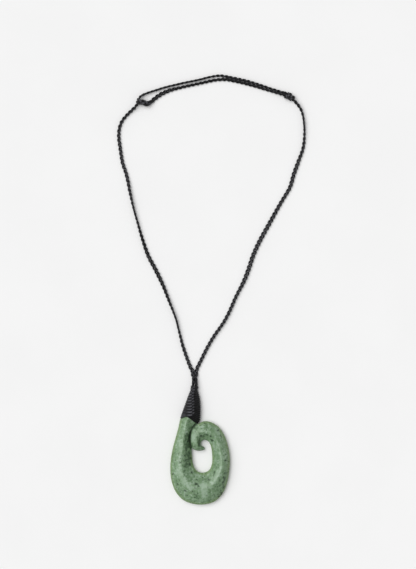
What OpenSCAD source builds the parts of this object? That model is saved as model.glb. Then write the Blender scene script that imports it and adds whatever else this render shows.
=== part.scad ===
// Carved greenstone hook pendant on a plaited black cord, laid flat on a table.
// Millimetres. +X is to the right, +Y runs from the hook up to the neck of the
// necklace and +Z is up from the table. The origin lies on the table, under the
// middle of the box round the hook, its lashing and the neck.

/* [Stone] */
// Thickness of the stone where its ridge is highest
stone_h = 8; // [6:0.5:9]
// Height of the sides, as a share of the thickness, where a table gives no other
side_share = 0.34; // [0.25:0.01:0.4]
// Roundness of the facet on the outer side of the ridge, where 1 is flat
outer_crown = 1.5; // [1:0.05:2]
// Roundness of the facet on the inner side of the ridge, where 1 is flat
inner_crown = 1.2; // [1:0.05:2]
// Radius of the rounded rim where the back meets the sides
rim_r = 1.6; // [0.8:0.1:2]

/* [Lashing] */
// Clearance between the lashing and the head of the stone
seat_gap = 0.2; // [0.1:0.05:0.3]

/* [Cord] */
// Thickness of the plaited cord
cord_d = 2; // [1.6:0.1:2.1]
// Clearance between one cord, knot or binding and the next
play = 0.1; // [0.05:0.01:0.15]

/* [Knots] */
// Height of the knots above the table at their thickest
knot_h = 4; // [3.8:0.1:4.4]
// Turn of the left knot from the X axis
left_knot_turn = -12; // [-16:1:-8]
// Turn of the right knot from the X axis
right_knot_turn = -23; // [-26:1:-20]

/* [Hidden] */

// Cuts across the stone, from the lashing round the hook to the tip of its curl.
// Each stands upright on the line from the outer edge to the inner edge.
// outer x, outer y, inner x, inner y, ridge share, thickness share, height of the
// back, share of the outer side's height
hook_cuts = [
    [-13.1,  12.4, -1.8,   9.6, 0.36, 0.84, 0, 0.34],
    [-14.3,   7.0, -4.0,   6.0, 0.46, 0.86, 0, 0.34],
    [-15.9,   1.0, -5.9,   0.4, 0.51, 0.88, 0, 0.34],
    [-17.7,  -5.5, -5.6,  -5.2, 0.53, 0.90, 0, 0.34],
    [-19.0, -12.4, -5.3, -11.0, 0.50, 0.93, 0, 0.34],
    [-19.5, -19.2, -4.7, -16.2, 0.51, 0.96, 0, 0.34],
    [-18.9, -26.3, -3.4, -19.5, 0.52, 0.98, 0, 0.34],
    [-16.4, -33.9, -1.4, -21.4, 0.54, 1.00, 0, 0.34],
    [-11.2, -39.9,  0.3, -22.0, 0.57, 1.00, 0, 0.34],
    [ -4.0, -42.6,  1.8, -22.1, 0.56, 1.00, 0, 0.34],
    [  3.1, -42.8,  3.1, -21.9, 0.53, 1.00, 0, 0.34],
    [  9.9, -40.6,  4.6, -21.3, 0.55, 0.99, 0, 0.34],
    [ 15.1, -35.0,  6.0, -20.1, 0.56, 0.98, 0, 0.34],
    [ 18.0, -27.0,  7.0, -18.3, 0.51, 0.96, 0, 0.34],
    [ 19.2, -19.0,  7.7, -15.6, 0.46, 0.94, 0, 0.34],
    [ 19.3, -11.4,  7.8, -11.7, 0.48, 0.92, 0, 0.34],
    [ 18.2,  -4.9,  7.4,  -7.8, 0.52, 0.90, 0, 0.34],
    [ 16.1,   1.4,  6.6,  -4.2, 0.55, 0.89, 0, 0.34],
    [ 12.7,   6.9,  5.2,  -2.0, 0.55, 0.88, 0, 0.34],
    [  8.0,  10.3,  3.6,  -1.1, 0.55, 0.88, 0, 0.38],
    [  3.1,  11.4,  2.1,  -1.1, 0.54, 0.88, 0, 0.44],
    [ -1.2,   9.7,  1.2,  -1.6, 0.50, 0.87, 0, 0.52],
    [ -4.8,   7.2,  0.7,  -2.3, 0.52, 0.85, 0, 0.59],
    [ -6.1,   2.8,  0.5,  -3.1, 0.57, 0.82, 0, 0.63],
    [ -6.2,  -2.0,  0.6,  -3.8, 0.62, 0.77, 0, 0.64],
    [ -5.4,  -5.7,  1.0,  -4.5, 0.66, 0.70, 0, 0.61],
    [ -3.5,  -7.4,  1.7,  -5.1, 0.66, 0.60, 0, 0.56],
    [ -0.6,  -8.1,  2.5,  -5.5, 0.62, 0.48, 0, 0.50],
    [  2.0,  -7.7,  3.0,  -6.1, 0.58, 0.36, 0, 0.45],
    [  3.1,  -7.0,  3.3,  -6.4, 0.50, 0.24, 0, 0.40]
];
// The cut where the hook turns from its outer limb into its curl
curl_start = 15;
// Cuts across the head of the stone, inside the lashing, with the first seven columns
head_cuts = [
    [ -6.4, 28.5, -1.6, 28.5, 0.50, 0.56, 1.2],
    [ -8.5, 23.4, -1.0, 23.3, 0.50, 0.66, 1.2],
    [-10.6, 17.6, -1.4, 16.6, 0.46, 0.74, 1.2],
    [-12.0, 12.3, -2.6, 10.1, 0.42, 0.78, 1.2]
];
// Cuts across the lashing, from the neck down to the shoulder of the stone
lashing_cuts = [
    [-6.0, 34.1, -1.3, 34.1, 0.5, 0.46, 0],
    [-6.6, 31.3, -1.1, 31.3, 0.5, 0.58, 0],
    [-8.1, 27.6, -0.3, 27.3, 0.5, 0.70, 0],
    [-9.9, 22.7, 0.4, 22.1, 0.5, 0.82, 0],
    [-11.6, 17.9, 0.5, 16.6, 0.48, 0.89, 0],
    [-12.8, 14.3, 0.1, 11.6, 0.46, 0.92, 0],
    [-13.3, 12.7, -1.3, 9.9, 0.44, 0.93, 0]
];
// Cuts across the neck, from where the two cords join down to the lashing
neck_cuts = [
    [-6.2, 42.7, -1.4, 42.7, 0.5, 0.30, 0],
    [-5.3, 40.3, -1.8, 40.3, 0.5, 0.36, 0],
    [-5.3, 37.7, -1.7, 37.7, 0.5, 0.38, 0],
    [-5.9, 34.2, -1.4, 34.2, 0.5, 0.44, 0]
];

// Route of the left cord: x, y and, where it is off the table, how far.
// It goes up the left side, through the left knot and over to the right knot.
left_route = [
    [-5, 42.8, 0.1], [-5, 43.6, 0.1], [-6.5, 46.5], [-8.5, 51.5], [-11.5, 60],
    [-14, 70], [-16, 78], [-20, 88.5], [-24, 99], [-29, 109.5],
    [-34, 119], [-37.5, 129], [-40.5, 139.5], [-43.5, 150], [-46, 161],
    [-48.5, 172], [-51, 180], [-52.5, 190], [-53, 199], [-51.5, 205.5],
    [-47.5, 210.5], [-44.5, 213.4, 0.4], [-41.8, 216, 0.8], [-40.2, 218.8, 1], [-39.4, 221.4, 0.8],
    [-37.8, 223, 0.3], [-34, 224.7], [-27, 227], [-19.5, 229.3], [-10, 231.7],
    [-1, 233.6], [8, 235], [15.5, 235.4], [22.5, 234.3], [30.5, 232.6],
    [38.5, 230.3], [46.5, 227.7], [54.6, 225.1, 0.1]
];
// Route of the right cord: up the right side, through the right knot and over
// to the left knot.
right_route = [
    [-2.6, 42.8, 0.1], [-2.6, 43.6, 0.1], [-2, 46], [0.5, 51.5], [4.5, 59.5],
    [9, 67], [14.5, 75], [19, 83], [23, 92], [28, 102],
    [31.5, 111], [34.5, 119.5], [38, 127.5], [43, 137], [48, 146],
    [53, 155], [58, 163.5], [60.5, 172], [63.5, 180.5], [66.5, 189],
    [67.5, 198], [67.5, 206], [66.5, 211.5], [65, 214.8, 0.3], [62.6, 218, 0.7],
    [59.7, 220.8, 1], [57, 222, 1], [53.6, 223.2, 0.9], [46, 225.5, 0.2], [38, 228.2],
    [30, 230.5], [22, 232.2], [15, 233.1], [8, 232.8], [-1, 231.2],
    [-10, 229.5], [-18, 227.3], [-24, 224.6], [-28, 222], [-31, 219.7, 0.2],
    [-32.6, 218.3, 0.4]
];

// Middle of each knot on the table
left_knot_at = [-37.6, 218.5];
right_knot_at = [58, 222.2];
// Shape of each knot: place along it, sideways shift, half width, half height share
left_knot_rows = [
    [-4.5, -0.3, 1.4, 0.60], [-4.0, -0.1, 1.9, 0.90], [-3.0,  0.0, 2.1, 1.00],
    [-1.0,  0.0, 1.9, 0.95], [ 1.5,  0.0, 1.8, 0.85], [ 3.8, -0.2, 1.6, 0.75],
    [ 4.6, -0.3, 1.1, 0.60]
];
right_knot_rows = [
    [-4.0,  0.0, 2.0, 0.85], [-3.2,  0.0, 2.2, 0.95], [-1.0,  0.0, 2.2, 1.00],
    [ 1.4,  0.0, 2.1, 1.00], [ 3.0, -0.1, 1.8, 0.85], [ 3.8, -0.3, 1.3, 0.60]
];

// Smoothed steps between two rows of a table of cuts
cut_steps = 4;
// Steps round a rim and across a facet
rim_steps = 3;
facet_steps = 5;
cord_sides = 8;
knot_sides = 12;

// Smooth value between b and c, with a and d their neighbours
function blend(a, b, c, d, t) =
    b + t * ((c - a) + t * (2 * a - 5 * b + 4 * c - d + t * (3 * (b - c) + d - a))) / 2;

// Rows of a table with smooth steps put in between
function smoothed(rows, steps) = [
    for (i = [0:len(rows) - 2], k = [0:steps - 1])
        blend(rows[max(i - 1, 0)], rows[i], rows[i + 1], rows[min(i + 2, len(rows) - 1)], k / steps),
    rows[len(rows) - 1]
];

function part_of(rows, from, to) = [for (i = [from:to]) rows[i]];
function reversed(rows) = [for (i = [len(rows) - 1:-1:0]) rows[i]];
function unit(v) = v / norm(v);

// Rim of one side of a cut, from the back up to the side's height
function rim_arc(rim, bottom, side) = [
    for (i = [0:rim_steps - 1])
        let (a = 90 * i / rim_steps)
        [rim * (1 - sin(a)), side - (side - bottom) * cos(a)]
];

// Crowned facet from the side's height at 0 up to the ridge at 1
function facet(side, peak, crown) = [
    for (i = [0:facet_steps])
        let (s = i / facet_steps)
        [s, side + (peak - side) * (1 - pow(1 - s, crown))]
];

// Corners of one cut, as [place across, height]: rounded rims, two crowned
// facets that meet in a ridge, and a flat back. outer_share is the height of the
// outer side as a share of the thickness. grow moves every side outwards.
function cut_outline(width, ridge, low, top, outer_share, grow) =
    let (
        bottom = low - grow,
        peak = top + grow,
        outer_side = bottom + outer_share * (peak - bottom),
        inner_side = bottom + side_share * (peak - bottom),
        wide = width + 2 * grow,
        rim = min(rim_r, 0.35 * wide),
        outer_facet = facet(outer_side, peak, outer_crown),
        inner_facet = facet(inner_side, peak, inner_crown)
    )
    [
        for (p = rim_arc(rim, bottom, outer_side)) [p[0] - grow, p[1]],
        for (p = outer_facet) [p[0] * ridge * wide - grow, p[1]],
        for (p = reversed(part_of(inner_facet, 0, facet_steps - 1)))
            [wide - p[0] * (1 - ridge) * wide - grow, p[1]],
        for (p = reversed(rim_arc(rim, bottom, inner_side))) [wide - p[0] - grow, p[1]]
    ];

// One cut in space, from its row of a table
function cut_ring(row, grow = 0) =
    let (
        outer = [row[0], row[1]],
        across = [row[2], row[3]] - outer,
        dir = unit(across),
        share = len(row) > 7 ? row[7] : side_share
    )
    [
        for (p = cut_outline(norm(across), row[4], row[6], row[5] * stone_h, share, grow))
            [outer[0] + p[0] * dir[0], outer[1] + p[0] * dir[1], p[1]]
    ];

// Closed solid through a row of rings with equal numbers of corners. Seen along
// the way that the rings follow, their corners run counterclockwise.
module loft(rings) {
    n = len(rings[0]);
    last = len(rings) - 1;
    sides = [
        for (i = [0:last - 1], j = [0:n - 1])
            let (a = i * n + j, b = i * n + (j + 1) % n)
            each [[a, b, b + n], [a, b + n, a + n]]
    ];
    caps = [[for (j = [n - 1:-1:0]) j], [for (j = [0:n - 1]) last * n + j]];
    polyhedron(points = [for (ring = rings) each ring], faces = concat(sides, caps), convexity = 6);
}

// Joins or cuts solids made of flat facets as one mesh. The zeros keep their size.
module one_mesh() {
    resize([0, 0, 0]) children();
}

// Points of a cord's middle line, lifted so that the cord lies on the table
function on_table(route) = [
    for (p = route) [p[0], p[1], cord_d / 2 + (len(p) > 2 ? p[2] : 0)]
];

// Ring of a tube at a point, square to the way that the tube runs
function tube_ring(at, way, d) =
    let (
        right = unit(cross(way, [0, 0, 1])),
        up = cross(right, way),
        r = d / 2 / cos(180 / cord_sides)
    )
    [
        for (k = [0:cord_sides - 1])
            let (a = 360 * (k + 0.5) / cord_sides)
            at + r * (cos(a) * right + sin(a) * up)
    ];

// Round tube along a row of points
module tube(points, d) {
    last = len(points) - 1;
    loft([
        for (i = [0:last])
            tube_ring(points[i], unit(points[min(i + 1, last)] - points[max(i - 1, 0)]), d)
    ]);
}

// Solid of a knot, lying on the table
module knot_body(at, turn, rows) {
    loft([
        for (row = rows)
            [
                for (k = [0:knot_sides - 1])
                    let (
                        a = 360 * k / knot_sides,
                        side = row[1] - row[2] * cos(a)
                    )
                    [
                        at[0] + row[0] * cos(turn) - side * sin(turn),
                        at[1] + row[0] * sin(turn) + side * cos(turn),
                        knot_h / 2 * (1 + row[3] * sin(a))
                    ]
            ]
    ]);
}

// The carved hook: its shank, bowl and outer limb, and the curl that turns back
// against the shank and leaves the eye open
module hook_stone() {
    cuts = smoothed(hook_cuts, cut_steps);
    turn = curl_start * cut_steps;
    shank = concat(smoothed(head_cuts, cut_steps), part_of(cuts, 0, turn));
    curl = part_of(cuts, turn, len(cuts) - 1);
    color([0.45, 0.58, 0.45])
        one_mesh()
            union() {
                loft([for (row = shank) cut_ring(row)]);
                loft([for (row = curl) cut_ring(row)]);
            }
}

// The binding round the head of the stone, open below with a socket for the head.
// The socket is wider than the head and goes on past its end by the seat gap.
module lashing() {
    past_head = seat_gap * [0, 1, 0, 1, 0, 0, 0];
    head = reversed(smoothed(head_cuts, cut_steps));
    skin = [for (row = smoothed(lashing_cuts, cut_steps)) cut_ring(row)];
    socket = [for (row = head) cut_ring(row + past_head, seat_gap)];
    color([0.11, 0.11, 0.12]) loft(concat(skin, socket));
}

// The neck where the strands of the two cords join
module neck_plait() {
    color([0.13, 0.13, 0.14])
        loft([for (row = smoothed(neck_cuts, cut_steps)) cut_ring(row)]);
}

// The cord from the left of the neck, with its end in the right knot
module cord_left() {
    color([0.12, 0.12, 0.13]) tube(on_table(left_route), cord_d);
}

// The cord from the right of the neck, with its end in the left knot
module cord_right() {
    color([0.12, 0.12, 0.13]) tube(on_table(right_route), cord_d);
}

// The knot tied in the end of the right cord, which slides on the left cord
module knot_left() {
    color([0.13, 0.13, 0.14])
        one_mesh()
            difference() {
                knot_body(left_knot_at, left_knot_turn, left_knot_rows);
                tube(on_table(left_route), cord_d + 2 * play);
            }
}

// The knot tied in the end of the left cord, which slides on the right cord
module knot_right() {
    color([0.13, 0.13, 0.14])
        one_mesh()
            difference() {
                knot_body(right_knot_at, right_knot_turn, right_knot_rows);
                tube(on_table(right_route), cord_d + 2 * play);
            }
}

hook_stone();
lashing();
neck_plait();
cord_left();
cord_right();
knot_left();
knot_right();
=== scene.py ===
"""Carved greenstone hook pendant on a plaited black cord, lying flat on a pale table.

Lengths are millimetres in the row frame of the part (+X right, +Y from the bowl of the
hook up to the neck of the necklace, +Z up from the table) until a mesh is made, which
is in metres.
"""

import logging
import math
from dataclasses import dataclass, replace
from enum import Enum

import bpy
import numpy as np
from bpy.types import ID, Material, Mesh, Node, NodeSocket, NodeTree, Object
from mathutils import Matrix, Vector, noise


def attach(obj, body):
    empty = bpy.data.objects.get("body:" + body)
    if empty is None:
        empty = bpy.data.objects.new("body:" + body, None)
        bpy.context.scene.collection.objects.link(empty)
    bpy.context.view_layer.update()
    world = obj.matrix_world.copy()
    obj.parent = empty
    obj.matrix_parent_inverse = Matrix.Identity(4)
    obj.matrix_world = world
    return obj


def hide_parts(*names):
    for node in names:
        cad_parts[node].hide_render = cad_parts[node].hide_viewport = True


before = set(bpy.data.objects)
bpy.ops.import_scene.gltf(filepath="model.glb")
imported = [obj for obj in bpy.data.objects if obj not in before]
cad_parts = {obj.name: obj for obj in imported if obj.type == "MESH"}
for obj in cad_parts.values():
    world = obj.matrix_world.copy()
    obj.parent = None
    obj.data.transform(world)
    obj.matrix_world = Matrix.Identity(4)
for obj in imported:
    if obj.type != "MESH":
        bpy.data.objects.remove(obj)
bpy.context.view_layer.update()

log = logging.getLogger("pendant")

# A row of values or points, and a value for all of a row or for each of it
Array = np.ndarray
Each = np.ndarray | float
# A colour in red, green and blue, and two values or the two ends of a range
Colour = tuple[float, float, float]
Pair = tuple[float, float]

MM = 0.001
TABLE_UP = np.array([0.0, 0.0, 1.0])


class FarEnd(Enum):
    KNOT = "knot"


class Stiffness(Enum):
    LIMP = "limp"


class Lay(Enum):
    LOOSE = "loose"


def unit(vectors: Array) -> Array:
    """Vectors along the last axis at length one."""
    return vectors / np.maximum(np.linalg.norm(vectors, axis=-1, keepdims=True), 1e-12)


def smoothstep(low: float, high: float, value: Array) -> Array:
    """Smooth ramp from 0 at low to 1 at high."""
    share = np.clip((value - low) / (high - low), 0.0, 1.0)
    return share * share * (3.0 - 2.0 * share)


def fading(low: float, high: float, value: Array) -> Array:
    """Smooth ramp from 1 at low to 0 at high."""
    return 1.0 - smoothstep(low, high, value)


def between(rise: Pair, fall: Pair, value: Array) -> Array:
    """Smooth hump that climbs from 0 to 1 over one span and falls back over another."""
    return smoothstep(*rise, value) * fading(*fall, value)


def smoothed(rows: Array, steps: int) -> Array:
    """Put smooth steps between the rows of a table.

    Args:
        rows: One row per section or point.
        steps: How many steps lie between two rows.

    Returns:
        The rows with the steps between them, the first and last unchanged.
    """
    last = len(rows) - 1
    share = np.linspace(0.0, 1.0, steps, endpoint=False)[:, None]
    out = []
    for i in range(last):
        a, b, c, d = (rows[min(max(i + k, 0), last)] for k in (-1, 0, 1, 2))
        bend = 2 * a - 5 * b + 4 * c - d + share * (3 * (b - c) + d - a)
        out.append(b + share * ((c - a) + share * bend) / 2)
    out.append(rows[last][None, :])
    return np.concatenate(out)


def arc_lengths(points: Array) -> Array:
    """Length along a row of points, from 0 at the first."""
    return np.concatenate([[0.0], np.cumsum(np.linalg.norm(np.diff(points, axis=0), axis=1))])


def evenly(points: Array, step: float) -> Array:
    """Points at even spacing along a row of points.

    Args:
        points: The row of points. Of its columns the first three are a place.
        step: The spacing wanted.

    Returns:
        The evenly spaced row, with the same columns and the same two ends.
    """
    along = arc_lengths(points[:, :3])
    places = np.linspace(0.0, along[-1], max(2, round(along[-1] / step) + 1))
    return np.stack([np.interp(places, along, column) for column in points.T], axis=1)


def nearest(places: Array, points: Array) -> Array:
    """How far each place is from the nearest of some points, seen from above."""
    return np.min([np.linalg.norm(places[:, :2] - point, axis=1) for point in points], axis=0)


def tangents_of(points: Array) -> Array:
    """Directions along a row of points."""
    return unit(np.gradient(points, axis=0))


def sides_of(line: Array, ups: Array) -> tuple[Array, Array]:
    """Directions to the right of a line and, at right angles to both, out over it towards ups."""
    right = unit(np.cross(tangents_of(line), ups))
    return right, np.cross(right, tangents_of(line))


def linked(name: str, data: ID) -> Object:
    """Show a mesh, a light or a camera in the scene.

    Args:
        name: The object's name.
        data: What it shows.

    Returns:
        The object.
    """
    made = bpy.data.objects.new(name, data)
    bpy.context.scene.collection.objects.link(made)
    return made


def store(mesh: Mesh, name: str, values: Array) -> None:
    """Keep one value for each point of a mesh."""
    layer = mesh.attributes.new(name=name, type="FLOAT", domain="POINT")
    layer.data.foreach_set("value", values.astype(np.float32))


class MeshParts:
    """Gathers tubes and other closed surfaces in millimetres and makes one object of them."""

    def __init__(self) -> None:
        """Start with nothing in it."""
        self.points: list[Array] = []
        self.faces: list[tuple[int, ...]] = []
        self.uvs: list[Pair] = []
        # Per point: wear, with painted highlight and painted shade mixed in
        self.worn_and_lit: list[Array] = []
        self.count = 0

    def add_closed(self, rings: Array, tips: Array, along: Array, worn_and_lit: Each = 0.0) -> None:
        """Add a surface through rings of points, closed with a point at each end.

        Args:
            rings: The rings, as an array of rings, places round a ring, and x, y, z.
            tips: The two closing points.
            along: The length that each ring lies at, kept in the UV map.
            worn_and_lit: How worn the surface is, with painted highlight and painted shade mixed in, for all
                of it or for each ring.
        """
        rows, columns = rings.shape[:2]
        first, first_tip = self.count, self.count + rows * columns
        self.points += [rings.reshape(-1, 3), tips]
        self.worn_and_lit += [np.repeat(np.broadcast_to(worn_and_lit, rows), columns), np.zeros(2)]
        self.count = first_tip + 2
        for i in range(rows - 1):
            low, high = float(along[i]), float(along[i + 1])
            for j in range(columns):
                here = first + i * columns + j
                beside = first + i * columns + (j + 1) % columns
                self.faces.append((here, here + columns, beside + columns, beside))
                left, right = j / columns, (j + 1) / columns
                self.uvs += [(left, low), (left, high), (right, high), (right, low)]
        last = first_tip - columns
        self.faces += [(first + (j + 1) % columns, first_tip, first + j) for j in range(columns)]
        self.faces += [(last + j, first_tip + 1, last + (j + 1) % columns) for j in range(columns)]
        self.uvs += [(0.0, 0.0), (0.5, 0.0), (1.0, 0.0)] * (2 * columns)

    def add_tube(self, points: Array, ups: Array, radius: Each, sides: int, taper: float, worn_and_lit: Each) -> None:
        """Add a round tube with rounded ends.

        Args:
            points: The middle line.
            ups: A direction at each point that isn't along the line.
            radius: The tube's radius, for all of it or at each point.
            sides: How many sides it has.
            taper: How long each end takes to narrow to nothing, or 0 for a blunt end.
            worn_and_lit: How worn it is, with painted highlight and painted shade mixed in, for all of it or
                at each point.
        """
        along = arc_lengths(points)
        side, up = sides_of(points, ups)
        angle = np.arange(sides) * math.tau / sides
        around = np.cos(angle)[None, :, None] * side[:, None] + np.sin(angle)[None, :, None] * up[:, None]
        reach = np.full(len(points), radius)
        if taper > 0:
            to_end = np.minimum(along, along[-1] - along)
            reach = radius * np.sqrt(np.clip(to_end / taper, 0.04, 1.0))
        bulge = 0.5 * reach[[0, -1], None] * tangents_of(points)[[0, -1]]
        tips = points[[0, -1]] + np.array([[-1.0], [1.0]]) * bulge
        self.add_closed(points[:, None] + reach[:, None, None] * around, tips, along, worn_and_lit)

    def make(self, name: str, material: Material) -> Object:
        """Make the object, smooth shaded and in metres.

        Args:
            name: The object's name.
            material: The finish of all its faces.

        Returns:
            The object, linked to the scene.
        """
        mesh = bpy.data.meshes.new(name)
        mesh.from_pydata((np.concatenate(self.points) * MM).tolist(), [], self.faces)
        layer = mesh.uv_layers.new(name="thread")
        layer.data.foreach_set("uv", np.array(self.uvs, dtype=np.float32).ravel())
        store(mesh, "worn_and_lit", np.concatenate(self.worn_and_lit))
        mesh.polygons.foreach_set("use_smooth", np.ones(len(self.faces), dtype=bool))
        mesh.materials.append(material)
        mesh.update()
        return linked(name, mesh)


class Nodes:
    """Short ways to place and join shader nodes in one tree."""

    def __init__(self, tree: NodeTree) -> None:
        """Work in this tree, emptied first."""
        self.tree = tree
        tree.nodes.clear()

    def add(self, kind: str, **values: object) -> Node:
        """Place a node.

        Args:
            kind: The node's type name, such as ShaderNodeMath.
            values: Its own settings by name.

        Returns:
            The node.
        """
        node = self.tree.nodes.new(kind)
        for name, value in values.items():
            setattr(node, name, value)
        return node

    def feed(self, node: Node, **inputs: object) -> Node:
        """Fill a node's inputs, by names with underscores for spaces, or i and a number.

        Args:
            node: The node.
            inputs: Sockets to link from, or plain values.

        Returns:
            The same node.
        """
        for name, value in inputs.items():
            key = int(name[1:]) if name[0] == "i" and name[1:].isdigit() else name.replace("_", " ")
            socket = node.inputs[key]
            if isinstance(value, NodeSocket):
                self.tree.links.new(value, socket)
            else:
                socket.default_value = value
        return node

    def math(self, operation: str, a: object, b: object = 0.0, clamp: bool = False) -> NodeSocket:
        """Result of a sum of one or two values."""
        node = self.add("ShaderNodeMath", operation=operation, use_clamp=clamp)
        return self.feed(node, i0=a, i1=b).outputs[0]

    def times(self, a: object, b: object, clamp: bool = False) -> NodeSocket:
        """Product of two values."""
        return self.math("MULTIPLY", a, b, clamp)

    def plus(self, a: object, b: object, clamp: bool = False) -> NodeSocket:
        """Sum of two values."""
        return self.math("ADD", a, b, clamp)

    def less(self, a: object, b: object, clamp: bool = False) -> NodeSocket:
        """First value less the second."""
        return self.math("SUBTRACT", a, b, clamp)

    def ramp(
        self, value: object, low: float, high: float, to_low: float = 0.0, to_high: float = 1.0
    ) -> NodeSocket:
        """Value carried smoothly from one range to another."""
        node = self.add("ShaderNodeMapRange", interpolation_type="SMOOTHSTEP")
        return self.feed(
            node, Value=value, From_Min=low, From_Max=high, To_Min=to_low, To_Max=to_high
        ).outputs["Result"]

    def noise(self, at: object, scale: float, detail: float, distortion: float = 0.0) -> NodeSocket:
        """Value of a cloudy noise from about 0.3 to 0.7."""
        node = self.add("ShaderNodeTexNoise")
        return self.feed(node, Vector=at, Scale=scale, Detail=detail, Distortion=distortion).outputs["Fac"]

    def mix(self, share: object, a: NodeSocket | Colour, b: Colour) -> NodeSocket:
        """Colour between a and b."""
        node = self.add("ShaderNodeMix", data_type="RGBA")
        return self.feed(node, i0=share, i6=(*a, 1.0) if isinstance(a, tuple) else a, i7=(*b, 1.0)).outputs[2]

    def stored(self, name: str) -> NodeSocket:
        """Value kept for each point under a name."""
        return self.add("ShaderNodeAttribute", attribute_name=name).outputs["Fac"]

    def relief(self, height: NodeSocket, strength: float, depth: float) -> NodeSocket:
        """Normal of a relief of a depth in millimetres."""
        node = self.add("ShaderNodeBump")
        return self.feed(node, Strength=strength, Distance=depth * MM, Height=height).outputs[0]

    def millimetres(self) -> NodeSocket:
        """Place on the object, in millimetres."""
        place, scaled = self.add("ShaderNodeTexCoord"), self.add("ShaderNodeVectorMath", operation="SCALE")
        return self.feed(scaled, i0=place.outputs["Object"], Scale=1 / MM).outputs[0]


def ply_group() -> NodeTree:
    """Shared effect of twisted yarn, from a UV map with its length in millimetres.

    Returns:
        The node group, with the twist's height, the shade of its grooves and its fibres.
    """
    name = "twisted_ply"
    if name in bpy.data.node_groups:
        return bpy.data.node_groups[name]
    group = bpy.data.node_groups.new(name, "ShaderNodeTree")
    for way, sockets in (("INPUT", ("Plies", "Twist Pitch")), ("OUTPUT", ("Height", "Shade", "Fibres"))):
        for socket in sockets:
            group.interface.new_socket(socket, in_out=way, socket_type="NodeSocketFloat")
    nodes = Nodes(group)
    given = nodes.add("NodeGroupInput")
    result = nodes.add("NodeGroupOutput")
    split = nodes.add("ShaderNodeSeparateXYZ")
    nodes.feed(split, Vector=nodes.add("ShaderNodeUVMap", uv_map="thread").outputs[0])
    around, along = split.outputs[0], split.outputs[1]
    pitches = nodes.math("DIVIDE", along, given.outputs["Twist Pitch"])
    turns = nodes.plus(nodes.times(around, given.outputs["Plies"]), pitches)
    wave = nodes.math("ABSOLUTE", nodes.math("SINE", nodes.times(turns, math.pi)))
    height = nodes.math("POWER", wave, 0.6)
    stretch = nodes.add("ShaderNodeCombineXYZ")
    nodes.feed(stretch, X=nodes.times(turns, 6.0), Y=nodes.times(along, 0.7))
    fibres = nodes.noise(stretch.outputs[0], 2.0, 3.0)
    shade = nodes.ramp(height, 0.0, 0.8, 0.45, 1.0)
    nodes.feed(result, Height=nodes.plus(height, nodes.times(fibres, 0.35)), Shade=shade, Fibres=fibres)
    return group


@dataclass(frozen=True)
class Finish:
    """A named finish. Each kind joins its own nodes to the shader."""

    name: str

    def join(self, nodes: Nodes, shader: Node) -> None:
        """Join the finish's nodes to the shader."""
        raise NotImplementedError

    def build(self) -> Material:
        """Make the material.

        Returns:
            The material.
        """
        material = bpy.data.materials.new(self.name)
        material.use_nodes = True
        nodes = Nodes(material.node_tree)
        shader = nodes.add("ShaderNodeBsdfPrincipled")
        nodes.feed(nodes.add("ShaderNodeOutputMaterial"), Surface=shader.outputs[0])
        self.join(nodes, shader)
        return material


@dataclass(frozen=True)
class YarnFinish(Finish):
    """Finish of black yarn: twisted plies with painted shade in their grooves, and a lighter colour where the
    yarn is marked worn and lit, for wear and as painted highlight.
    """

    # Lighter colour of worn yarn and of painted highlight
    polish_and_highlight: Colour
    plies: float
    pitch: float
    roughness: float
    bump: float
    # Dark in the grooves of the twist as painted shade, light on the plies
    dark: Colour = (0.003, 0.003, 0.003)
    light: Colour = (0.008, 0.008, 0.009)
    sheen: float = 0.02
    specular: float = 0.2

    def join(self, nodes: Nodes, shader: Node) -> None:
        """Join the twist, its painted groove shade, the wear with its painted highlight, and the fibres to
        the shader.

        Args:
            nodes: The helper for the material's tree.
            shader: Its shader node.
        """
        ply = nodes.add("ShaderNodeGroup", node_tree=ply_group())
        nodes.feed(ply, Plies=self.plies, Twist_Pitch=self.pitch)
        shade = ply.outputs["Shade"]
        faded = nodes.ramp(nodes.noise(nodes.millimetres(), 0.35, 3.0), 0.35, 0.7)
        # Painted shade: darker in the grooves of the twist, with a random fading on top
        share = nodes.times(shade, nodes.plus(0.35, nodes.times(faded, 0.65)))
        colour = nodes.mix(share, self.dark, self.light)
        # Wear with painted highlight and painted shade: the lighter colour where the points are marked so
        colour = nodes.mix(nodes.times(nodes.stored("worn_and_lit"), shade), colour, self.polish_and_highlight)
        rough = nodes.ramp(ply.outputs["Fibres"], 0.3, 0.7, self.roughness - 0.08, self.roughness + 0.1)
        normal = nodes.relief(ply.outputs["Height"], self.bump, 0.12)
        nodes.feed(shader, Base_Color=colour, Roughness=rough, Normal=normal)
        nodes.feed(shader, Sheen_Weight=self.sheen, Sheen_Roughness=0.4, Specular_IOR_Level=self.specular)


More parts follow.
